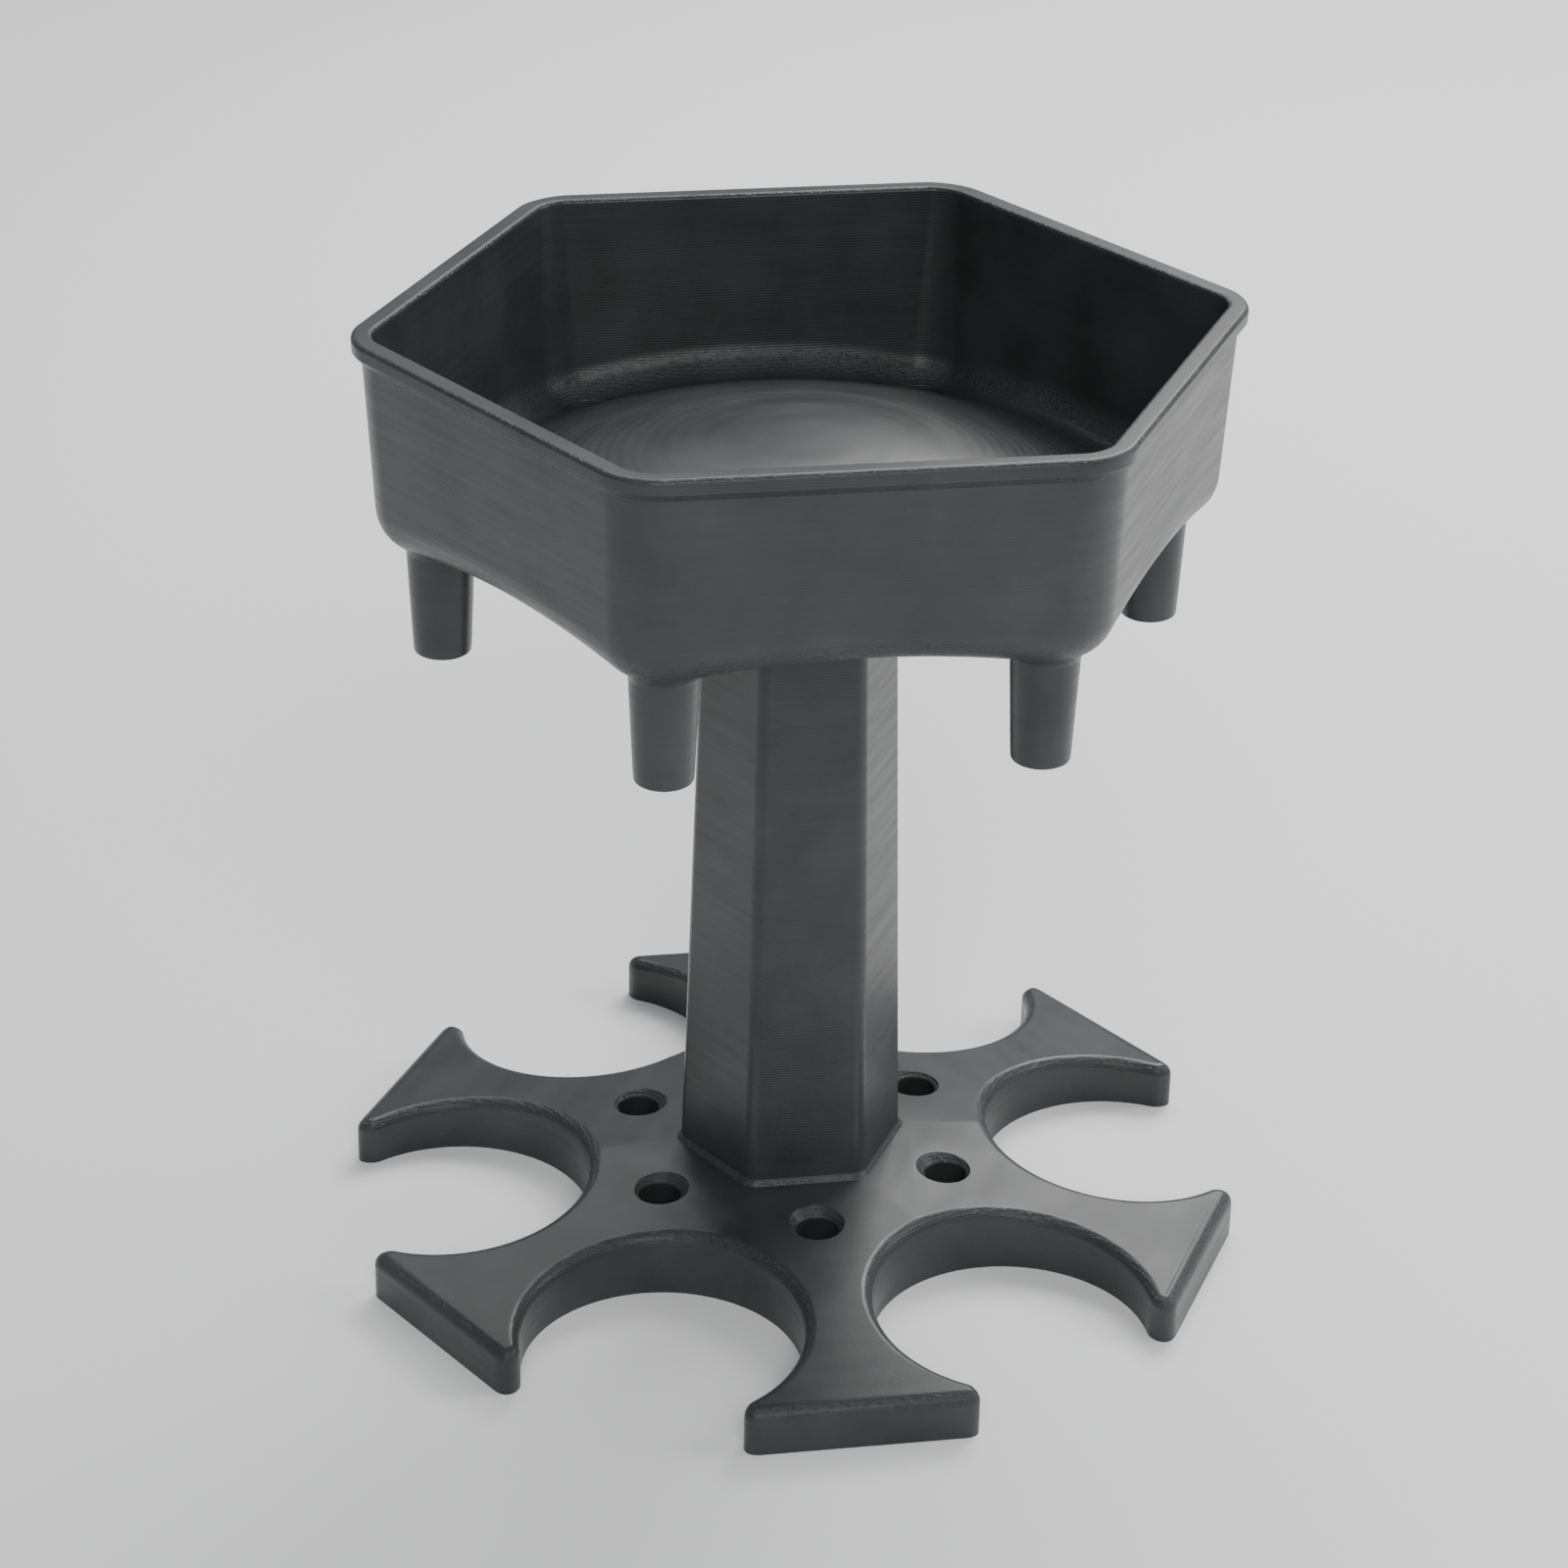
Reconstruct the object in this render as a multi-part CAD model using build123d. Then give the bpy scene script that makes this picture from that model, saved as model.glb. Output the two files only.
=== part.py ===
from build123d import *
import os
from math import cos, radians, sin

# Six-way shot dispenser and glass holder, in millimetres, +Z up.
# The origin is the middle of the flat underside of the base.
# Corners of the hexagons point along +X; the arms of the base lie between them.

SIDES = 6
CORNER_ANGLES = [60 * k for k in range(SIDES)]
ARM_ANGLES = [30 + 60 * k for k in range(SIDES)]

# Base: a low six-sided pyramid with a flat landing for the column.
BASE_APOTHEM = 82.0
BASE_EDGE_HEIGHT = 8.6
BASE_TOP = 14.3
LANDING_APOTHEM = 19.2
STATION_RADIUS = 63.7          # glass and nozzle axes, from the middle
SCALLOP_RADIUS = 25.3
MOUTH_HALF_WIDTH = 21.5
TIP_ROUND = 2.6
BASE_TOP_ROUND = 1.6
STICK_HOLE_CIRCLE = 31.2
STICK_HOLE_RADIUS = 3.9
STICK_HOLE_DEPTH = 10.0
STICK_HOLE_CHAMFER = 1.2

# Column: a tapered hexagonal post with a keyed spigot at each end.
COLUMN_FOOT_APOTHEM = 18.4
COLUMN_TOP_APOTHEM = 15.2
COLUMN_TOP = 139.0
COLUMN_FOOT_ROUND = 3.0
COLUMN_TOP_ROUND = 2.5
FOOT_FLARE_HEIGHT = 0.9
FOOT_SPIGOT_APOTHEM = 14.0
FOOT_SPIGOT_LENGTH = 8.5
HEAD_SPIGOT_APOTHEM = 11.4
HEAD_SPIGOT_LENGTH = 9.0
SPIGOT_ROUND = 1.5
SPIGOT_CHAMFER = 0.6
SOCKET_CLEARANCE = 0.2
SOCKET_END_GAP = 0.5

# Tray: hexagonal walls with draft, a domed floor, a flatter domed underside and a lip.
RIM_TOP = 178.0
LIP_APOTHEM = 80.0 * cos(radians(30))
LIP_HEIGHT = 2.8
LIP_UNDERCUT = 1.4
LIP_ROUND = 0.9
WALL_THICKNESS = 2.6
WALL_TOP_APOTHEM = 68.0
WALL_LOW_APOTHEM = 65.5
WALL_LOW_Z = 126.0
OUTER_CORNER_ROUND = 12.0
INNER_CORNER_LOW_ROUND = 10.5   # at WALL_LOW_Z, easing towards the rim
INNER_CORNER_TOP_ROUND = 6.2
LIP_CORNER_ROUND = 11.5
FLOOR_RADIUS = 150.0
FLOOR_APEX = 155.6
INNER_FLOOR_ROUND = 5.6
UNDERSIDE_RADIUS = 187.0
UNDERSIDE_APEX = 150.4
OUTER_FLOOR_ROUND = 8.0

# Nozzles, moulded in one with the tray.
NOZZLE_TIP_Z = 118.7
NOZZLE_TIP_RADIUS = 5.1
NOZZLE_ROOT_RADIUS = 6.2
NOZZLE_ROOT_Z = 143.0
NOZZLE_TIP_BORE = 3.5
NOZZLE_ROOT_BORE = 4.2
NOZZLE_TIP_ROUND = 0.6
ROOT_ROUND = 1.6               # where nozzles and boss meet the underside
RIM_INNER_ROUND = 0.8

OVERCUT = 1.0                  # how far a cutting tool runs past the face it opens
OVERLAP = 0.2                  # how far pieces of one solid run into each other


def rounded_hexagon(apothem, z, corner_round):
    """A face: a hexagon with corners along +X, each corner rounded."""
    outline = RegularPolygon(radius=apothem, side_count=SIDES, major_radius=False)
    return Pos(0, 0, z) * fillet(outline.vertices(), corner_round)


def tapered_hexagon(low_apothem, low_z, high_apothem, high_z, low_round, high_round):
    """A solid between two rounded hexagons."""
    low = rounded_hexagon(low_apothem, low_z, low_round)
    high = rounded_hexagon(high_apothem, high_z, high_round)
    return loft([low, high], ruled=True)


def hexagonal_prism(apothem, low_z, high_z, corner_round):
    return extrude(rounded_hexagon(apothem, low_z, corner_round), high_z - low_z)


def polar(radius, angle):
    return Pos(radius * cos(radians(angle)), radius * sin(radians(angle)))


def base_outline():
    """The hexagon with six glass scallops, each open to the outside."""
    outline = RegularPolygon(radius=BASE_APOTHEM, side_count=SIDES, major_radius=False)
    reach = BASE_APOTHEM
    for angle in CORNER_ANGLES:
        outline -= polar(STATION_RADIUS, angle) * Circle(SCALLOP_RADIUS)
        mouth = Pos(STATION_RADIUS + reach / 2, 0) * Rectangle(reach, 2 * MOUTH_HALF_WIDTH)
        outline -= Rot(0, 0, angle) * mouth
    return fillet(outline.vertices(), TIP_ROUND)


def base_plate():
    low = Pos(0, 0, BASE_EDGE_HEIGHT) * RegularPolygon(BASE_APOTHEM, SIDES, major_radius=False)
    high = Pos(0, 0, BASE_TOP) * RegularPolygon(LANDING_APOTHEM, SIDES, major_radius=False)
    skirt = extrude(RegularPolygon(BASE_APOTHEM, SIDES, major_radius=False), BASE_EDGE_HEIGHT)
    pyramid = skirt + loft([low, high], ruled=True)
    plate = extrude(base_outline(), BASE_TOP) & pyramid
    top_edges = [
        edge for edge in plate.edges()
        if edge.bounding_box().min.Z > BASE_EDGE_HEIGHT / 2
        and not borders_landing(edge) and not is_ridge(edge)
    ]
    plate = fillet(top_edges, BASE_TOP_ROUND)
    for angle in ARM_ANGLES:
        plate -= polar(STICK_HOLE_CIRCLE, angle) * stick_hole()
    socket = FOOT_SPIGOT_LENGTH + SOCKET_END_GAP
    return plate - hexagonal_prism(
        FOOT_SPIGOT_APOTHEM + SOCKET_CLEARANCE, BASE_TOP - socket, BASE_TOP + OVERCUT, SPIGOT_ROUND
    )


def borders_landing(edge):
    """True for an edge of the flat landing in the middle."""
    return edge.bounding_box().min.Z > BASE_TOP - 0.01


def is_ridge(edge):
    """True for a ridge between two slopes: it starts at a corner of the landing."""
    return edge.bounding_box().max.Z > BASE_TOP - 0.01


def slope_height(apothem):
    """Height of the base's slope over a point of an arm's centre line."""
    run = (apothem - LANDING_APOTHEM) / (BASE_APOTHEM - LANDING_APOTHEM)
    return BASE_TOP + (BASE_EDGE_HEIGHT - BASE_TOP) * run


def stick_hole():
    """The tool for one blind hole with a chamfered mouth."""
    mouth_z = slope_height(STICK_HOLE_CIRCLE)
    hole = Pos(0, 0, mouth_z - STICK_HOLE_DEPTH) * Cylinder(
        STICK_HOLE_RADIUS, STICK_HOLE_DEPTH, align=(Align.CENTER, Align.CENTER, Align.MIN)
    )
    mouth = Pos(0, 0, mouth_z - STICK_HOLE_CHAMFER) * Cone(
        STICK_HOLE_RADIUS, STICK_HOLE_RADIUS + STICK_HOLE_CHAMFER + OVERCUT,
        STICK_HOLE_CHAMFER + OVERCUT, align=(Align.CENTER, Align.CENTER, Align.MIN)
    )
    return hole + mouth


def spigot(apothem, low_z, high_z, tip_z):
    """A keyed hexagonal spigot with a chamfer round its tip."""
    body = hexagonal_prism(apothem, low_z, high_z, SPIGOT_ROUND)
    tip = body.faces().sort_by(lambda face: abs(face.center().Z - tip_z))[0]
    return chamfer(tip.edges(), SPIGOT_CHAMFER)


def column():
    post = tapered_hexagon(
        COLUMN_FOOT_APOTHEM, BASE_TOP, COLUMN_TOP_APOTHEM, COLUMN_TOP,
        COLUMN_FOOT_ROUND, COLUMN_TOP_ROUND
    )
    flare = tapered_hexagon(
        LANDING_APOTHEM, BASE_TOP, COLUMN_FOOT_APOTHEM - OVERLAP, BASE_TOP + FOOT_FLARE_HEIGHT,
        COLUMN_FOOT_ROUND, COLUMN_FOOT_ROUND
    )
    foot_tip = BASE_TOP - FOOT_SPIGOT_LENGTH
    head_tip = COLUMN_TOP + HEAD_SPIGOT_LENGTH
    foot = spigot(FOOT_SPIGOT_APOTHEM, foot_tip, BASE_TOP, foot_tip)
    head = spigot(HEAD_SPIGOT_APOTHEM, COLUMN_TOP, head_tip, head_tip)
    return post + flare + foot + head


def lip():
    top = hexagonal_prism(LIP_APOTHEM, RIM_TOP - LIP_HEIGHT, RIM_TOP, LIP_CORNER_ROUND)
    top = fillet(top.faces().sort_by(Axis.Z)[-1].edges(), LIP_ROUND)
    under_z = RIM_TOP - LIP_HEIGHT
    under = tapered_hexagon(
        WALL_TOP_APOTHEM - OVERLAP, under_z - LIP_UNDERCUT, LIP_APOTHEM, under_z,
        OUTER_CORNER_ROUND, LIP_CORNER_ROUND
    )
    return top + under


def walls_over_sphere(inset, low_round, top_round, sphere_radius, sphere_top, foot_round):
    """The drafted hexagon above a sphere, rounded where the two meet."""
    walls = tapered_hexagon(
        WALL_LOW_APOTHEM - inset, WALL_LOW_Z, WALL_TOP_APOTHEM - inset, RIM_TOP,
        low_round, top_round
    )
    body = walls - Pos(0, 0, sphere_top - sphere_radius) * Sphere(sphere_radius)
    floor = body.faces().filter_by(GeomType.SPHERE)[0]
    return fillet(floor.edges(), foot_round)


def tray_outside():
    return walls_over_sphere(
        0, OUTER_CORNER_ROUND, OUTER_CORNER_ROUND,
        UNDERSIDE_RADIUS, UNDERSIDE_APEX, OUTER_FLOOR_ROUND
    )


def tray_cavity():
    """The space inside the walls, run on past the rim so that the cut is open."""
    body = walls_over_sphere(
        WALL_THICKNESS, INNER_CORNER_LOW_ROUND, INNER_CORNER_TOP_ROUND,
        FLOOR_RADIUS, FLOOR_APEX, INNER_FLOOR_ROUND
    )
    mouth_apothem = WALL_TOP_APOTHEM - WALL_THICKNESS
    return body + hexagonal_prism(mouth_apothem, RIM_TOP, RIM_TOP + OVERCUT, INNER_CORNER_TOP_ROUND)


def cone_between(low_radius, low_z, high_radius, high_z):
    return Pos(0, 0, low_z) * Cone(
        low_radius, high_radius, high_z - low_z, align=(Align.CENTER, Align.CENTER, Align.MIN)
    )


def nozzle_outside():
    body = cone_between(NOZZLE_TIP_RADIUS, NOZZLE_TIP_Z, NOZZLE_ROOT_RADIUS, NOZZLE_ROOT_Z)
    return fillet(body.faces().sort_by(Axis.Z)[0].edges(), NOZZLE_TIP_ROUND)


def nozzle_bore():
    return cone_between(
        NOZZLE_TIP_BORE, NOZZLE_TIP_Z - OVERCUT, NOZZLE_ROOT_BORE, NOZZLE_ROOT_Z + OVERCUT
    )


def tray_socket_boss():
    """The hexagonal boss under the floor that the column's head spigot enters."""
    return hexagonal_prism(COLUMN_TOP_APOTHEM, COLUMN_TOP, UNDERSIDE_APEX + OVERLAP, COLUMN_TOP_ROUND)


def dispenser_tray():
    shell = tray_outside() + lip()
    fittings = [polar(STATION_RADIUS, angle) * nozzle_outside() for angle in CORNER_ANGLES]
    fittings.append(tray_socket_boss())
    body = shell + fittings
    body = fillet(new_edges(shell, *fittings, combined=body), ROOT_ROUND)
    body -= tray_cavity()
    rim = body.faces().sort_by(Axis.Z)[-1]
    body = fillet(rim.inner_wires()[0].edges(), RIM_INNER_ROUND)
    for angle in CORNER_ANGLES:
        body -= polar(STATION_RADIUS, angle) * nozzle_bore()
    socket_top = COLUMN_TOP + HEAD_SPIGOT_LENGTH + SOCKET_END_GAP
    return body - hexagonal_prism(
        HEAD_SPIGOT_APOTHEM + SOCKET_CLEARANCE, COLUMN_TOP - OVERCUT, socket_top, SPIGOT_ROUND
    )


os.makedirs("parts", exist_ok=True)
for name, make in (
    ("base_plate", base_plate), ("column", column), ("dispenser_tray", dispenser_tray)
):
    export_step(make(), f"parts/{name}.step")
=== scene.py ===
from collections import namedtuple
from math import atan, atan2, cos, pi, radians, sin, sqrt, tan

import bmesh
import bpy
from mathutils import Matrix, Vector
from mathutils.bvhtree import BVHTree


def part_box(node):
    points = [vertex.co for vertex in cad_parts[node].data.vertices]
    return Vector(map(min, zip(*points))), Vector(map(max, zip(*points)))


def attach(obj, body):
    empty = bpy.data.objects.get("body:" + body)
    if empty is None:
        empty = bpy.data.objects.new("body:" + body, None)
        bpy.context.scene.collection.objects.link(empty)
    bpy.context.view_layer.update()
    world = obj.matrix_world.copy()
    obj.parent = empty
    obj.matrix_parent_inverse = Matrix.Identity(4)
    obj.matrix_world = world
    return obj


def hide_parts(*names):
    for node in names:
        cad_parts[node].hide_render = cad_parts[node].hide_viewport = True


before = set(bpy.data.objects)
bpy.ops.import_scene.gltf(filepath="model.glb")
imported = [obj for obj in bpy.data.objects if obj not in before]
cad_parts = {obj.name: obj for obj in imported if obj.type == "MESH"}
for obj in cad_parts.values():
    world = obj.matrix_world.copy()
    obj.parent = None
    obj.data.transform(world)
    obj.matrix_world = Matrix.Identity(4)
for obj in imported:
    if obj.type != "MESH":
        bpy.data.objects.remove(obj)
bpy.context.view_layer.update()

# A six-way shot dispenser: base, column and tray, in metres, in the frame of the CAD.
# Tray corners, nozzles and glass scallops are at 0, 60, 120 ... degrees, arms between them.

MM = 0.001
SIDES = 6
CORNER_ANGLES = [radians(60 * k) for k in range(SIDES)]
ARM_ANGLES = [radians(30 + 60 * k) for k in range(SIDES)]

BASE_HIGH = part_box("base_plate")[1]
COLUMN_LOW, COLUMN_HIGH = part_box("column")
TRAY_LOW, TRAY_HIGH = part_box("dispenser_tray")

# Base
BASE_APOTHEM = BASE_HIGH.y
BASE_TOP = BASE_HIGH.z
BASE_EDGE_HEIGHT = 8.6 * MM
LANDING_APOTHEM = COLUMN_HIGH.y
STATION_RADIUS = 63.7 * MM
SCALLOP_RADIUS = 25.3 * MM
MOUTH_HALF_WIDTH = 21.5 * MM
TIP_ROUND = 2.58 * MM
BASE_TOP_ROUND = 2.2 * MM
STICK_HOLE_CIRCLE = 31.2 * MM
STICK_HOLE_RADIUS = 3.9 * MM
STICK_HOLE_DEPTH = 10.0 * MM
STICK_HOLE_CHAMFER = 1.2 * MM

# Column
FOOT_APOTHEM = 18.4 * MM
FOOT_FLARE_HEIGHT = 0.9 * MM
HEAD_APOTHEM = 15.2 * MM
FOOT_ROUND = 3.0 * MM
HEAD_ROUND = 2.5 * MM
SPIGOT_ROUND = 1.5 * MM
SHOULDER_Z = COLUMN_HIGH.z - 9.0 * MM
FOOT_SPIGOT_APOTHEM = 14.0 * MM
HEAD_SPIGOT_APOTHEM = 11.4 * MM
SPIGOT_CHAMFER = 0.6 * MM
SOCKET_CLEARANCE = 0.2 * MM
SOCKET_END_GAP = 0.5 * MM

# Tray
RIM_TOP = TRAY_HIGH.z
LIP_APOTHEM = TRAY_HIGH.y
LIP_CORNER_ROUND = 11.5 * MM
LIP_HEIGHT = 2.8 * MM
LIP_UNDERCUT = 1.4 * MM
LIP_ROUND = 0.9 * MM
WALL_LOW_APOTHEM = 65.5 * MM
WALL_LOW_Z = 126.0 * MM
WALL_TOP_APOTHEM = 68.0 * MM
WALL_THICKNESS = 2.6 * MM
OUTER_CORNER_ROUND = 12.0 * MM
INNER_CORNER_LOW_ROUND = 10.5 * MM
INNER_CORNER_TOP_ROUND = 6.2 * MM
RIM_INNER_ROUND = 0.8 * MM
INNER_FLOOR_ROUND = 5.6 * MM
OUTER_FLOOR_ROUND = 8.0 * MM

# Nozzles
NOZZLE_TIP_Z = TRAY_LOW.z
NOZZLE_TIP_RADIUS = 5.1 * MM
NOZZLE_ROOT_RADIUS = 6.2 * MM
NOZZLE_ROOT_Z = 143.0 * MM
NOZZLE_TIP_BORE = 3.5 * MM
NOZZLE_ROOT_BORE = 4.2 * MM
NOZZLE_TIP_ROUND = 0.6 * MM
ROOT_ROUND = 1.6 * MM
ENTRY_ROUND = 0.9 * MM

# Finish
LAYER_HEIGHT = 0.5 * MM

# Mesh fineness and tolerances
CORNER_SEGMENTS = 14
SIDE_CUTS = 23
ARC_STEPS = 14
EDGE_STEPS = 6
FLOOR_RINGS = 22
MIDDLE_SCALE = 0.08
TURN_STEPS = 64
ROOT_STEPS = 8
SCALLOP_STEPS = 72
TAPER_STEPS = 12
SEAT_PASSES = 6
MERGE = 1e-7
SAME_PLACE = 1e-6
OVERCUT = 1 * MM
NOZZLE_LAP = 1.2 * MM
BORE_CUT_ABOVE = 6 * MM
SOCKET_CUT_HEIGHT = 20 * MM


class Dome:
    """A sphere centred on the column's axis, given by its radius and its top."""

    def __init__(self, radius, top):
        self.radius, self.centre = radius, Vector((0, 0, top - radius))

    def above(self, point, clear=0.0):
        """The place over or under a point that is this far outside the sphere."""
        rise = sqrt((self.radius + clear) ** 2 - point.x ** 2 - point.y ** 2)
        return Vector((point.x, point.y, self.centre.z + rise))


Wall = namedtuple("Wall", "inset low_round top_round")
OUTER_WALL = Wall(0, OUTER_CORNER_ROUND, OUTER_CORNER_ROUND)
INNER_WALL = Wall(WALL_THICKNESS, INNER_CORNER_LOW_ROUND, INNER_CORNER_TOP_ROUND)
FLOOR = Dome(150.0 * MM, 155.6 * MM)
UNDERSIDE = Dome(187.0 * MM, 150.4 * MM)


def polar(radius, angle, z=0.0):
    return Vector((radius * cos(angle), radius * sin(angle), z))


def finish_piece(name, bm, body):
    """Makes the object from a closed mesh, in place, riding on its body."""
    mesh = bpy.data.meshes.new(name)
    bm.to_mesh(mesh)
    bm.free()
    piece = bpy.data.objects.new(name, mesh)
    bpy.context.scene.collection.objects.link(piece)
    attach(piece, body)
    return piece


def hexagon_outline(bm, apothem, corner_round, segments, cuts=0):
    """A closed ring of vertices: a hexagon with corners along +X, each one rounded."""
    made = bmesh.ops.create_circle(bm, cap_ends=True, segments=SIDES, radius=apothem / cos(pi / 6))
    turn = Matrix.Rotation(pi / 6, 3, "Z")
    bmesh.ops.rotate(bm, verts=made["verts"], cent=(0, 0, 0), matrix=turn)
    bmesh.ops.bevel(
        bm, geom=made["verts"], offset=corner_round * tan(pi / 6), offset_type="OFFSET",
        segments=segments, profile=0.5, affect="VERTICES", material=-1
    )
    if cuts:
        longest = max(edge.calc_length() for edge in bm.edges)
        sides = [edge for edge in bm.edges if edge.calc_length() > longest * 0.9]
        bmesh.ops.subdivide_edges(bm, edges=sides, cuts=cuts)
    bmesh.ops.delete(bm, geom=bm.faces[:], context="FACES_ONLY")
    return ordered_ring(bm.verts, Vector())


def ordered_ring(verts, centre):
    """The vertices in order of their angle round the centre."""
    along_x = Vector((1, 0))
    return sorted(verts, key=lambda vert: (vert.co - centre).xy.angle_signed(along_x, 0))


def extrude_ring(bm, ring, places):
    """Extrudes a ring of vertices to the next ring of places."""
    edges = [bm.edges.get((ring[i - 1], ring[i])) for i in range(len(ring))]
    made = bmesh.ops.extrude_edge_only(bm, edges=edges)["geom"]
    new_verts = {e for e in made if isinstance(e, bmesh.types.BMVert)}
    partner = {}
    for vert in ring:
        for edge in vert.link_edges:
            other = edge.other_vert(vert)
            if other in new_verts:
                partner[vert] = other
    following = [partner[vert] for vert in ring]
    for vert, place in zip(following, places):
        vert.co = place
    return following


def close_ring(bm, ring, centre):
    """Closes a ring at a point with a fan."""
    cap = bmesh.ops.contextual_create(bm, geom=ring)["faces"]
    hub = bmesh.ops.poke(bm, faces=cap)["verts"][0]
    hub.co = centre


def tidy(bm):
    """Closes the seams and turns every face outwards."""
    bmesh.ops.remove_doubles(bm, verts=bm.verts[:], dist=MERGE)
    bmesh.ops.recalc_face_normals(bm, faces=bm.faces[:])


def boolean(piece, cutter_mesh, operation):
    """Unites a mesh with the piece, or cuts it out, and applies the result."""
    cutter = bpy.data.objects.new("cutter", cutter_mesh)
    bpy.context.scene.collection.objects.link(cutter)
    step = piece.modifiers.new("join", "BOOLEAN")
    step.operation, step.object, step.solver = operation, cutter, "EXACT"
    depsgraph = bpy.context.evaluated_depsgraph_get()
    joined = bpy.data.meshes.new_from_object(piece.evaluated_get(depsgraph))
    piece.modifiers.clear()
    piece.data = joined
    bpy.data.objects.remove(cutter)


def mesh_from(bm):
    """A plain mesh of a finished bmesh, for joining or cutting."""
    tidy(bm)
    mesh = bpy.data.meshes.new("tool")
    bm.to_mesh(mesh)
    bm.free()
    return mesh


def smooth(piece, sharp_degrees=32):
    """Smooth shading, with the edges sharper than this kept crisp."""
    mesh = piece.data
    mesh.shade_smooth()
    mesh.set_sharp_from_angle(angle=radians(sharp_degrees))
    steady = piece.modifiers.new("steady_normals", "WEIGHTED_NORMAL")
    steady.keep_sharp = True


# ---------------------------------------------------------------- tray

class TrayOutline:
    """The lip's outline: for each vertex its outward direction and the point it rounds."""

    def __init__(self, ring):
        self.core, self.normals = [], []
        spread = (LIP_APOTHEM - LIP_CORNER_ROUND) / cos(pi / 6)
        for place in (vert.co.copy() for vert in ring):
            normal = max((polar(1, angle) for angle in ARM_ANGLES), key=place.dot)
            if place.dot(normal) < LIP_APOTHEM - SAME_PLACE:
                corner = max((polar(spread, angle) for angle in CORNER_ANGLES), key=place.dot)
                normal = (place - corner).normalized()
            self.normals.append(normal)
            self.core.append(place - normal * LIP_CORNER_ROUND)

    def places(self, apothem, corner_round, z):
        """One level ring: a hexagon of this apothem and corner round."""
        scale = (apothem - corner_round) / (LIP_APOTHEM - LIP_CORNER_ROUND)
        return [Vector((*(core * scale + normal * corner_round).xy, z))
                for core, normal in zip(self.core, self.normals)]

    def wall_place(self, index, wall, z):
        """The place on a wall at this height."""
        part = (z - WALL_LOW_Z) / (RIM_TOP - WALL_LOW_Z)
        corner_round = wall.low_round + (wall.top_round - wall.low_round) * part
        apothem = WALL_LOW_APOTHEM + (WALL_TOP_APOTHEM - WALL_LOW_APOTHEM) * part - wall.inset
        scale = (apothem - corner_round) / (LIP_APOTHEM - LIP_CORNER_ROUND)
        flat = self.core[index] * scale + self.normals[index] * corner_round
        return Vector((flat.x, flat.y, z))

    def wall_foot(self, wall, ball, dome):
        """Rings round the foot of the walls: a ball rolled along wall and dome."""
        lean = atan((WALL_TOP_APOTHEM - WALL_LOW_APOTHEM) / (RIM_TOP - WALL_LOW_Z))
        arcs = []
        for index, normal in enumerate(self.normals):
            tilted = normal * cos(lean) - Vector((0, 0, sin(lean)))
            z = dome.centre.z + dome.radius
            for _ in range(SEAT_PASSES):
                seat = dome.above(self.wall_place(index, wall, z) - tilted * ball, ball)
                z = seat.z - ball * sin(lean)
            arcs.append(arc_between(seat, tilted, (dome.centre - seat).normalized(), ball))
        return [[arc[k] for arc in arcs] for k in range(ARC_STEPS + 1)]


def arc_between(centre, start, end, radius):
    """Points of an arc round a centre, from one unit direction to another."""
    whole = start.angle(end)
    points = []
    for k in range(ARC_STEPS + 1):
        turn = whole * k / ARC_STEPS
        direction = (start * sin(whole - turn) + end * sin(turn)) / sin(whole)
        points.append(centre + direction * radius)
    return points


def dome_rings(start, end, dome):
    """Rings over a dome, spaced evenly between two outlines."""
    return [
        [dome.above(p.lerp(q, k / FLOOR_RINGS)) for p, q in zip(start, end)]
        for k in range(1, FLOOR_RINGS)
    ]


def quarter(steps):
    """The sine and cosine of evenly spaced turns from 0 to a right angle."""
    return [(sin(pi / 2 * k / steps), cos(pi / 2 * k / steps)) for k in range(steps + 1)]


def lip_rings(outline):
    """From the outer wall round the lip, over the rim and down to the inner wall."""
    under_z = RIM_TOP - LIP_HEIGHT
    foot_z = under_z - LIP_UNDERCUT
    lean = (WALL_TOP_APOTHEM - WALL_LOW_APOTHEM) / (RIM_TOP - WALL_LOW_Z)
    neck = WALL_TOP_APOTHEM - lean * (RIM_TOP - foot_z)
    reach = LIP_APOTHEM - neck
    profile = [(neck, foot_z - 0.5 * MM), (neck + reach * 0.04, foot_z)]
    profile += [(neck + reach * 0.5, foot_z + LIP_UNDERCUT * 0.55)]
    profile += [(LIP_APOTHEM - 0.22 * MM, under_z - 0.12 * MM), (LIP_APOTHEM, under_z + 0.2 * MM)]
    levels = [(apothem, OUTER_CORNER_ROUND, z) for apothem, z in profile]
    levels += [(LIP_APOTHEM - LIP_ROUND * (1 - c), LIP_CORNER_ROUND - LIP_ROUND * (1 - c),
                RIM_TOP - LIP_ROUND * (1 - s)) for s, c in quarter(EDGE_STEPS)]
    inner = WALL_TOP_APOTHEM - WALL_THICKNESS
    levels += [(inner + RIM_INNER_ROUND * (1 - s),
                INNER_CORNER_TOP_ROUND + RIM_INNER_ROUND * (1 - s),
                RIM_TOP - RIM_INNER_ROUND * (1 - c)) for s, c in quarter(EDGE_STEPS)]
    return [outline.places(*level) for level in levels]


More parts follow.
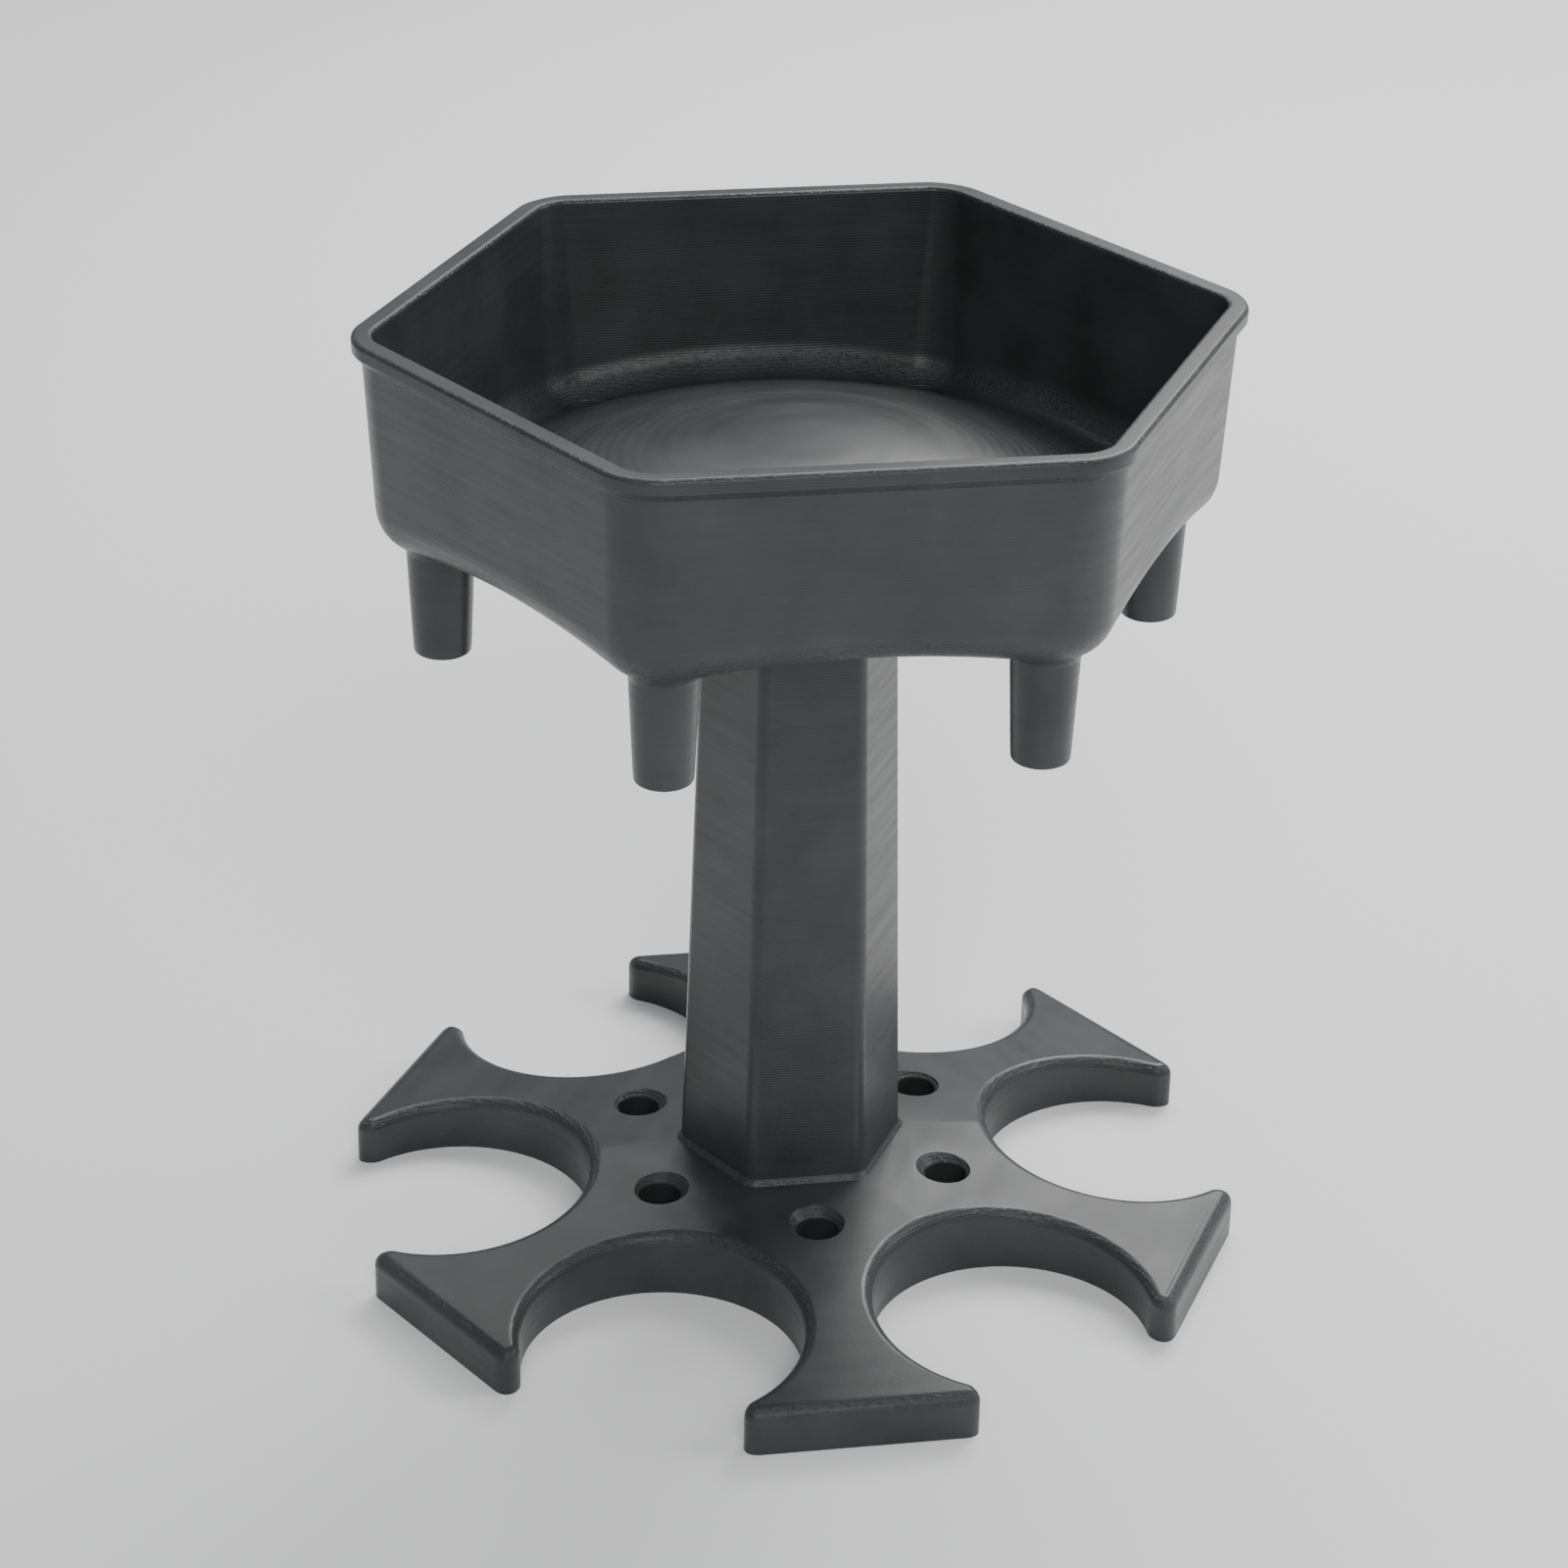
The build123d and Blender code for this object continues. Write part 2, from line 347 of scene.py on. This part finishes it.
def boss_rings(outline):
    """The socket under the floor and the boss round it, from the inside out."""
    socket = HEAD_SPIGOT_APOTHEM + SOCKET_CLEARANCE
    levels = [
        (socket, SPIGOT_ROUND, COLUMN_HIGH.z + SOCKET_END_GAP), (socket, SPIGOT_ROUND, SHOULDER_Z),
        (HEAD_APOTHEM, HEAD_ROUND, SHOULDER_Z),
    ]
    rings = [outline.places(*level) for level in levels]
    for s, c in quarter(ARC_STEPS):
        grown = ROOT_ROUND * (1 - c)
        flared = outline.places(HEAD_APOTHEM + grown, HEAD_ROUND + grown, 0)
        drop = Vector((0, 0, ROOT_ROUND * (1 - s)))
        rings.append([UNDERSIDE.above(p) - drop for p in flared])
    return rings


def tray_shell():
    """The tray without its nozzles, as one closed skin swept from ring to ring."""
    bm = bmesh.new()
    ring = hexagon_outline(bm, LIP_APOTHEM, LIP_CORNER_ROUND, CORNER_SEGMENTS, SIDE_CUTS)
    outline = TrayOutline(ring)
    outer = outline.wall_foot(OUTER_WALL, OUTER_FLOOR_ROUND, UNDERSIDE)
    inner = outline.wall_foot(INNER_WALL, INNER_FLOOR_ROUND, FLOOR)
    boss = boss_rings(outline)
    middle = [p * MIDDLE_SCALE for p in inner[-1]]
    sections = boss + dome_rings(boss[-1], outer[-1], UNDERSIDE) + outer[::-1]
    sections += lip_rings(outline) + inner + dome_rings(inner[-1], middle, FLOOR)
    for vert, place in zip(ring, sections[0]):
        vert.co = place
    first = ring
    for places in sections[1:]:
        ring = extrude_ring(bm, ring, places)
    close_ring(bm, ring, FLOOR.above(Vector()))
    close_ring(bm, first, Vector((0, 0, COLUMN_HIGH.z + SOCKET_END_GAP)))
    tidy(bm)
    return bm


def spin_profile(profile, axis_point):
    """A closed solid of revolution about an upright axis, from a list of (radius, z)."""
    bm = bmesh.new()
    verts = [bm.verts.new(axis_point + Vector((radius, 0, z))) for radius, z in profile]
    edges = [bm.edges.new(pair) for pair in zip(verts, verts[1:])]
    bmesh.ops.spin(
        bm, geom=verts + edges, cent=axis_point, axis=(0, 0, 1), dvec=(0, 0, 0),
        angle=2 * pi, steps=TURN_STEPS, use_merge=True, use_duplicate=False
    )
    tidy(bm)
    return bm


def cone_radius(z, tip, root):
    """The radius at this height of a cone that is tip wide below and root wide above."""
    return tip + (root - tip) * (z - NOZZLE_TIP_Z) / (NOZZLE_ROOT_Z - NOZZLE_TIP_Z)


def nozzle_profile(root_z):
    """From the middle of the tip, round its edge and up the taper, closed at the top."""
    points = [(0, NOZZLE_TIP_Z)]
    points += [(NOZZLE_TIP_RADIUS - NOZZLE_TIP_ROUND * (1 - s),
                NOZZLE_TIP_Z + NOZZLE_TIP_ROUND * (1 - c)) for s, c in quarter(4)]
    for k in range(1, ROOT_STEPS + 1):
        z = NOZZLE_TIP_Z + (root_z - ROOT_ROUND - NOZZLE_TIP_Z) * k / ROOT_STEPS
        points.append((cone_radius(z, NOZZLE_TIP_RADIUS, NOZZLE_ROOT_RADIUS), z))
    return points


def surface_height(tree, point, direction):
    """Height of the tray's skin over a point, met from below or from above."""
    start_z = NOZZLE_TIP_Z if direction > 0 else RIM_TOP
    hit = tree.ray_cast(Vector((point.x, point.y, start_z)), Vector((0, 0, direction)))[0]
    return hit.z


def nozzle(tree, angle):
    """One nozzle whose root flares out to meet the underside all the way round."""
    axis = polar(STATION_RADIUS, angle)
    root_z = surface_height(tree, axis, 1)
    bm = spin_profile(nozzle_profile(root_z), axis)
    top_z = max(v.co.z for v in bm.verts)
    rim = [vert for vert in bm.verts if vert.co.z > top_z - SAME_PLACE]
    ring = ordered_ring(rim, axis)
    start = (ring[0].co - axis).xy.length
    spokes = [Vector((*(v.co - axis).xy.normalized(), 0)) for v in ring]
    for step, (rise, fall) in enumerate(quarter(ROOT_STEPS)):
        places = []
        for spoke in spokes:
            place = axis + spoke * (start + ROOT_ROUND * (1 - fall))
            place.z = surface_height(tree, place, 1) - ROOT_ROUND * (1 - rise)
            places.append(place)
        if step:
            ring = extrude_ring(bm, ring, places)
        for vert, place in zip(ring, places):
            vert.co = place
    lap = Vector((0, 0, NOZZLE_LAP))
    ring = extrude_ring(bm, ring, [vert.co + lap for vert in ring])
    close_ring(bm, ring, axis + lap + Vector((0, 0, root_z)))
    return mesh_from(bm)


def nozzle_bore(tree, angle):
    """The cutter for one bore, opening out where it meets the floor."""
    axis = polar(STATION_RADIUS, angle)
    floor_z = surface_height(tree, axis, -1)
    below, above = NOZZLE_TIP_Z - OVERCUT, floor_z + BORE_CUT_ABOVE
    points = [(0, below), (cone_radius(below, NOZZLE_TIP_BORE, NOZZLE_ROOT_BORE), below)]
    last = cone_radius(floor_z, NOZZLE_TIP_BORE, NOZZLE_ROOT_BORE)
    points += [(last + ENTRY_ROUND * (1 - c), floor_z - ENTRY_ROUND * (1 - s))
               for s, c in quarter(5)]
    points += [(last + ENTRY_ROUND, above), (0, above)]
    return mesh_from(spin_profile(points, axis))


def joined(meshes):
    """Several meshes as one, still loose from each other."""
    bm = bmesh.new()
    for mesh in meshes:
        bm.from_mesh(mesh)
    mesh = bpy.data.meshes.new("tools")
    bm.to_mesh(mesh)
    bm.free()
    return mesh


def build_tray():
    """The tray's shell with its six nozzles joined on and bored through."""
    bm = tray_shell()
    tree = BVHTree.FromBMesh(bm)
    piece = finish_piece("pouring_tray", bm, "tray")
    nozzles = joined([nozzle(tree, angle) for angle in CORNER_ANGLES])
    bores = joined([nozzle_bore(tree, angle) for angle in CORNER_ANGLES])
    boolean(piece, nozzles, "UNION")
    boolean(piece, bores, "DIFFERENCE")
    smooth(piece)
    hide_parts("dispenser_tray")
    return piece


# ---------------------------------------------------------------- column

def build_column():
    """A tapered hexagonal post with a flared foot and a spigot at each end."""
    bm = bmesh.new()
    ring = hexagon_outline(bm, FOOT_APOTHEM, FOOT_ROUND, 8)
    points = [vert.co.copy() for vert in ring]
    flare_top = BASE_TOP + FOOT_FLARE_HEIGHT
    foot_tip, head_tip = COLUMN_LOW.z, COLUMN_HIGH.z
    levels = [
        (FOOT_SPIGOT_APOTHEM - SPIGOT_CHAMFER, foot_tip),
        (FOOT_SPIGOT_APOTHEM, foot_tip + SPIGOT_CHAMFER),
        (FOOT_SPIGOT_APOTHEM, BASE_TOP),
        (LANDING_APOTHEM, BASE_TOP),
        (LANDING_APOTHEM - 0.1 * MM, BASE_TOP + 0.15 * MM),
        (FOOT_APOTHEM + 0.05 * MM, flare_top),
    ]
    taper_foot = flare_top + 0.3 * MM
    for k in range(TAPER_STEPS + 1):
        part = k / TAPER_STEPS
        levels.append((FOOT_APOTHEM + (HEAD_APOTHEM - FOOT_APOTHEM) * part,
                       taper_foot + (SHOULDER_Z - taper_foot) * part))
    levels += [
        (HEAD_SPIGOT_APOTHEM, SHOULDER_Z),
        (HEAD_SPIGOT_APOTHEM, head_tip - SPIGOT_CHAMFER),
        (HEAD_SPIGOT_APOTHEM - SPIGOT_CHAMFER, head_tip),
    ]
    sections = [
        [Vector((*(p * apothem / FOOT_APOTHEM).xy, z)) for p in points]
        for apothem, z in levels
    ]
    for vert, place in zip(ring, sections[0]):
        vert.co = place
    first = ring
    for places in sections[1:]:
        ring = extrude_ring(bm, ring, places)
    close_ring(bm, first, Vector((0, 0, foot_tip)))
    close_ring(bm, ring, Vector((0, 0, head_tip)))
    tidy(bm)
    piece = finish_piece("post", bm, "column")
    smooth(piece, 40)
    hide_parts("column")
    return piece


# ---------------------------------------------------------------- base

def slope_height(apothem):
    """The height of the base's sloping top this far out along an arm."""
    part = (apothem - LANDING_APOTHEM) / (BASE_APOTHEM - LANDING_APOTHEM)
    return BASE_TOP + (BASE_EDGE_HEIGHT - BASE_TOP) * part


def scallop_edge(bm):
    """The edge of a scallop, from the ridge round to where it meets the mouth."""
    beyond = sqrt(SCALLOP_RADIUS ** 2 - MOUTH_HALF_WIDTH ** 2)
    start = bm.verts.new((STATION_RADIUS - SCALLOP_RADIUS, 0, 0))
    swept = bmesh.ops.spin(
        bm, geom=[start], cent=(STATION_RADIUS, 0, 0), axis=(0, 0, -1), dvec=(0, 0, 0),
        angle=pi - atan2(MOUTH_HALF_WIDTH, beyond), steps=SCALLOP_STEPS,
        use_merge=False, use_duplicate=False
    )["geom_last"]
    return next(e for e in swept if isinstance(e, bmesh.types.BMVert))


def round_tip(bm, vert, turn):
    """Rounds one corner of the outline, where it turns through this angle."""
    bmesh.ops.bevel(
        bm, geom=[vert], offset=TIP_ROUND * tan(turn / 2), offset_type="OFFSET", segments=9,
        profile=0.5, affect="VERTICES", clamp_overlap=False, material=-1
    )


def arm_sector(bm):
    """The sloping top of one arm, from ridge to ridge, as a single face."""
    arm = ARM_ANGLES[0]
    out, across = polar(1, arm), Vector((-sin(arm), cos(arm), 0))
    tip = scallop_edge(bm)
    outer_x = (BASE_APOTHEM - MOUTH_HALF_WIDTH * sin(arm)) / cos(arm)
    outer = bm.verts.new((outer_x, MOUTH_HALF_WIDTH, 0))
    end = bm.verts.new(out * BASE_APOTHEM)
    bm.edges.new((tip, outer))
    bm.edges.new((outer, end))
    tip_turn = pi / 2 - atan2(MOUTH_HALF_WIDTH, tip.co.x - STATION_RADIUS)
    round_tip(bm, outer, radians(120))
    round_tip(bm, tip, tip_turn)
    landing_corner = bm.verts.new(polar(LANDING_APOTHEM / cos(arm), 0))
    start = min((v for v in bm.verts if abs(v.co.y) < SAME_PLACE and v is not landing_corner),
                key=lambda v: v.co.x if v.co.x > landing_corner.co.x + SAME_PLACE else 1)
    bm.edges.new((landing_corner, start))
    half = bm.verts[:] + bm.edges[:]
    copied = bmesh.ops.duplicate(bm, geom=half)["geom"]
    for vert in (e for e in copied if isinstance(e, bmesh.types.BMVert)):
        vert.co -= across * (2 * vert.co.dot(across))
    bmesh.ops.remove_doubles(bm, verts=bm.verts[:], dist=SAME_PLACE)
    ends = [v for v in bm.verts if len(v.link_edges) == 1]
    bm.edges.new(ends)
    face = bmesh.ops.contextual_create(bm, geom=bm.edges[:])["faces"][0]
    for vert in bm.verts:
        vert.co.z = slope_height(vert.co.dot(out))
    return face


def base_solid():
    """The arm's top turned round six times, closed by the landing, the sides and the underside."""
    bm = bmesh.new()
    face = arm_sector(bm)
    bmesh.ops.spin(
        bm, geom=[face], cent=(0, 0, 0), axis=(0, 0, 1), dvec=(0, 0, 0),
        angle=2 * pi * (SIDES - 1) / SIDES, steps=SIDES - 1, use_merge=False, use_duplicate=True
    )
    bmesh.ops.remove_doubles(bm, verts=bm.verts[:], dist=SAME_PLACE)
    landing = [e for e in bm.edges if e.is_boundary
               and max(v.co.xy.length for v in e.verts) < LANDING_APOTHEM * 1.2]
    bmesh.ops.contextual_create(bm, geom=landing)
    outline = [e for e in bm.edges if e.is_boundary]
    sides = bmesh.ops.extrude_edge_only(bm, edges=outline)["geom"]
    for vert in (e for e in sides if isinstance(e, bmesh.types.BMVert)):
        vert.co.z = 0
    bmesh.ops.contextual_create(bm, geom=[e for e in bm.edges if e.is_boundary])
    tidy(bm)
    top_edges = [e for e in bm.edges if is_top_edge(e)]
    bmesh.ops.bevel(
        bm, geom=top_edges, offset=BASE_TOP_ROUND, offset_type="OFFSET", segments=6,
        profile=0.5, affect="EDGES", clamp_overlap=False, material=-1
    )
    tidy(bm)
    return bm


def is_top_edge(edge):
    """True where an upright side meets the sloping top."""
    tilts = sorted(abs(face.normal.z) for face in edge.link_faces)
    above = min(vert.co.z for vert in edge.verts) > BASE_EDGE_HEIGHT / 2
    return above and tilts[0] < 0.1 and tilts[-1] > 0.9


def build_base():
    """The base with its stick holes and the column's socket cut in."""
    piece = finish_piece("stand_base", base_solid(), "base")
    tools = [stick_hole(angle) for angle in ARM_ANGLES] + [column_socket()]
    boolean(piece, joined(tools), "DIFFERENCE")
    smooth(piece)
    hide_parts("base_plate")
    return piece


def stick_hole(angle):
    """The cutter for one stick hole and its chamfered mouth."""
    axis = polar(STICK_HOLE_CIRCLE, angle)
    mouth_z = slope_height(STICK_HOLE_CIRCLE)
    wide = STICK_HOLE_RADIUS + STICK_HOLE_CHAMFER + OVERCUT
    return mesh_from(spin_profile([
        (0, mouth_z - STICK_HOLE_DEPTH),
        (STICK_HOLE_RADIUS, mouth_z - STICK_HOLE_DEPTH),
        (STICK_HOLE_RADIUS, mouth_z - STICK_HOLE_CHAMFER),
        (wide, mouth_z + OVERCUT),
        (0, mouth_z + OVERCUT),
    ], axis))


def column_socket():
    """The cutter for the hexagonal socket in the base's landing."""
    bm = bmesh.new()
    apothem = FOOT_SPIGOT_APOTHEM + SOCKET_CLEARANCE
    ring = hexagon_outline(bm, apothem, SPIGOT_ROUND, 5)
    floor_z = COLUMN_LOW.z - SOCKET_END_GAP
    for vert in ring:
        vert.co.z = floor_z
    rise = Vector((0, 0, SOCKET_CUT_HEIGHT))
    top = extrude_ring(bm, ring, [vert.co + rise for vert in ring])
    close_ring(bm, ring, Vector((0, 0, floor_z)))
    close_ring(bm, top, Vector((0, 0, floor_z)) + rise)
    return mesh_from(bm)


# ---------------------------------------------------------------- finish

class Nodes:
    """A small helper to add and link shader nodes."""

    def __init__(self, material):
        self.tree = material.node_tree

    def add(self, kind, values=None, **settings):
        node = self.tree.nodes.new(kind)
        for name, value in settings.items():
            setattr(node, name, value)
        for name, value in (values or {}).items():
            node.inputs[name].default_value = value
        return node

    def link(self, out, into):
        self.tree.links.new(out, into)

    def ramp(self, source, stops):
        """A colour ramp from a list of (position, colour), in order."""
        node = self.add("ShaderNodeValToRGB")
        elements = node.color_ramp.elements
        elements.remove(elements[-1])
        for index, (position, colour) in enumerate(stops):
            element = elements.new(position) if index else elements[0]
            element.position, element.color = position, (*colour, 1)
        self.link(source, node.inputs["Fac"])
        return node.outputs["Color"]

    def stretched_noise(self, place, scale, detail):
        """Noise stretched along the layers."""
        mapping = self.add("ShaderNodeMapping", {"Scale": scale})
        self.link(place, mapping.inputs["Vector"])
        noise = self.add("ShaderNodeTexNoise", {"Scale": 1.0, "Detail": detail})
        self.link(mapping.outputs["Vector"], noise.inputs["Vector"])
        return noise.outputs["Fac"]

    def layer_wave(self, place, **distortion):
        """A wave that repeats once per layer, up the piece."""
        values = {"Scale": pi / (10 * LAYER_HEIGHT), **distortion}
        wave = self.add("ShaderNodeTexWave", values,
                        wave_type="BANDS", bands_direction="Z", wave_profile="SIN")
        self.link(place, wave.inputs["Vector"])
        return wave.outputs["Fac"]

    def maths(self, operation, *sources):
        node = self.add("ShaderNodeMath", operation=operation)
        for source, socket in zip(sources, node.inputs):
            self.link(source, socket)
        return node.outputs["Value"]

    def map_range(self, source, values):
        node = self.add("ShaderNodeMapRange", values)
        self.link(source, node.inputs["Value"])
        return node.outputs["Result"]

    def bump(self, height, strength, distance, normal=None):
        node = self.add("ShaderNodeBump", {"Strength": strength, "Distance": distance})
        self.link(height, node.inputs["Height"])
        if normal:
            self.link(normal, node.inputs["Normal"])
        return node.outputs["Normal"]


def slope_steps(nodes, place, normal):
    """The layers' broken contour steps, which show only where the surface slopes gently."""
    split = nodes.add("ShaderNodeSeparateXYZ")
    nodes.link(nodes.add("ShaderNodeNewGeometry").outputs["Normal"], split.inputs["Vector"])
    tilt = nodes.maths("ABSOLUTE", split.outputs["Z"])
    none, full = (0, 0, 0), (1, 1, 1)
    gentle = nodes.ramp(tilt, [(0.25, none), (0.5, full), (0.88, full), (0.97, none)])

    contour = nodes.layer_wave(place, **{"Distortion": 1.5, "Detail": 2.0, "Detail Scale": 900.0})
    nibs = nodes.stretched_noise(place, (800.0, 800.0, 2000.0), 1.0)
    proud = nodes.map_range(nibs, {"From Min": 0.56, "From Max": 0.66, "To Max": 3.0})
    shown = nodes.maths("MULTIPLY", nodes.maths("ADD", contour, proud), gentle)
    return nodes.bump(shown, 0.7, 0.07 * MM, normal)


def moulded_plastic(name):
    """Charcoal satin plastic: fine level layer lines, a grain and soft tonal mottling."""
    material = bpy.data.materials.new(name)
    material.use_nodes = True
    nodes = Nodes(material)
    shader = material.node_tree.nodes["Principled BSDF"]
    shader.inputs["Specular IOR Level"].default_value = 0.42
    shader.inputs["Coat Weight"].default_value = 0.1
    shader.inputs["Coat Roughness"].default_value = 0.2
    place = nodes.add("ShaderNodeTexCoord").outputs["Object"]

    mottle = nodes.add("ShaderNodeTexNoise", {"Scale": 60.0, "Detail": 4.0, "Roughness": 0.55})
    nodes.link(place, mottle.inputs["Vector"])
    dark, light = ([value * tint for tint in (1, 1.03, 1.06)] for value in (0.023, 0.040))
    tone = nodes.ramp(mottle.outputs["Fac"], [(0.3, dark), (0.72, light)])
    nodes.link(tone, shader.inputs["Base Color"])

    rub = nodes.stretched_noise(place, (40.0, 40.0, 900.0), 3.0)
    gloss = nodes.map_range(
        rub, {"From Min": 0.3, "From Max": 0.7, "To Min": 0.32, "To Max": 0.44})
    nodes.link(gloss, shader.inputs["Roughness"])

    grain = nodes.add("ShaderNodeTexNoise", {"Scale": 1900.0, "Detail": 3.0})
    nodes.link(place, grain.inputs["Vector"])
    lines = nodes.bump(nodes.layer_wave(place), 0.6, 0.03 * MM)
    grained = nodes.bump(grain.outputs["Fac"], 0.5, 0.035 * MM, lines)
    nodes.link(slope_steps(nodes, place, grained), shader.inputs["Normal"])
    return material


# ---------------------------------------------------------------- studio

def floor_and_light():
    """A plain pale floor, a soft key light from the back right and three weaker soft fills."""
    bm = bmesh.new()
    bmesh.ops.create_grid(bm, x_segments=1, y_segments=1, size=4)
    mesh = bpy.data.meshes.new("floor")
    bm.to_mesh(mesh)
    bm.free()
    floor = bpy.data.objects.new("floor", mesh)
    bpy.context.scene.collection.objects.link(floor)
    paper = bpy.data.materials.new("pale_paper")
    paper.use_nodes = True
    shader = paper.node_tree.nodes["Principled BSDF"]
    shader.inputs["Base Color"].default_value = (0.95, 0.95, 0.95, 1)
    shader.inputs["Roughness"].default_value = 0.9
    mesh.materials.append(paper)
    softbox("key", azimuth=55, elevation=44, distance=1.2, size=0.6, power=10.5)
    softbox("right_fill", azimuth=-5, elevation=24, distance=1.2, size=0.6, power=5.5)
    softbox("back_fill", azimuth=88, elevation=52, distance=1.2, size=0.6, power=3.6)
    softbox("front_fill", azimuth=-95, elevation=38, distance=1.2, size=0.6, power=7.5)
    world = bpy.data.worlds.new("studio")
    world.use_nodes = True
    background = world.node_tree.nodes["Background"]
    background.inputs["Color"].default_value = (0.93, 0.95, 1.0, 1)
    background.inputs["Strength"].default_value = 0.3
    bpy.context.scene.world = world


def softbox(name, azimuth, elevation, distance, size, power):
    """A square area light aimed at the object's middle. Azimuth 0 is along +X."""
    light = bpy.data.lights.new(name, "AREA")
    light.size, light.energy = size, power
    holder = bpy.data.objects.new(name, light)
    bpy.context.scene.collection.objects.link(holder)
    aim = Vector((0, 0, RIM_TOP / 2))
    direction = polar(cos(radians(elevation)), radians(azimuth), sin(radians(elevation)))
    holder.location = aim + direction * distance
    holder.rotation_euler = direction.to_track_quat("Z", "Y").to_euler()


def camera():
    """A long lens a little to the left of the front arm, looking down."""
    azimuth, elevation, roll = radians(-9.56), radians(26.94), radians(1.02)
    distance, lens_mm = 0.7456, 94.17
    back = Vector((sin(azimuth) * cos(elevation), -cos(azimuth) * cos(elevation), sin(elevation)))
    right = Vector((cos(azimuth), sin(azimuth), 0))
    up = back.cross(right)
    level_right = right * cos(roll) + up * sin(roll)
    level_up = up * cos(roll) - right * sin(roll)
    aim = Vector((0, 0, 87.91 * MM)) - right * 2.33 * MM
    lens = bpy.data.cameras.new("camera")
    lens.lens, lens.sensor_width = lens_mm, 36
    lens.clip_start = 0.01
    holder = bpy.data.objects.new("camera", lens)
    bpy.context.scene.collection.objects.link(holder)
    turn = Matrix((level_right, level_up, back)).transposed().to_4x4()
    holder.matrix_world = Matrix.Translation(aim + back * distance) @ turn
    bpy.context.scene.camera = holder


for piece, finish in (
    (build_tray(), "tray_plastic"),
    (build_column(), "post_plastic"),
    (build_base(), "base_plastic"),
):
    piece.data.materials.clear()
    piece.data.materials.append(moulded_plastic(finish))
floor_and_light()
camera()
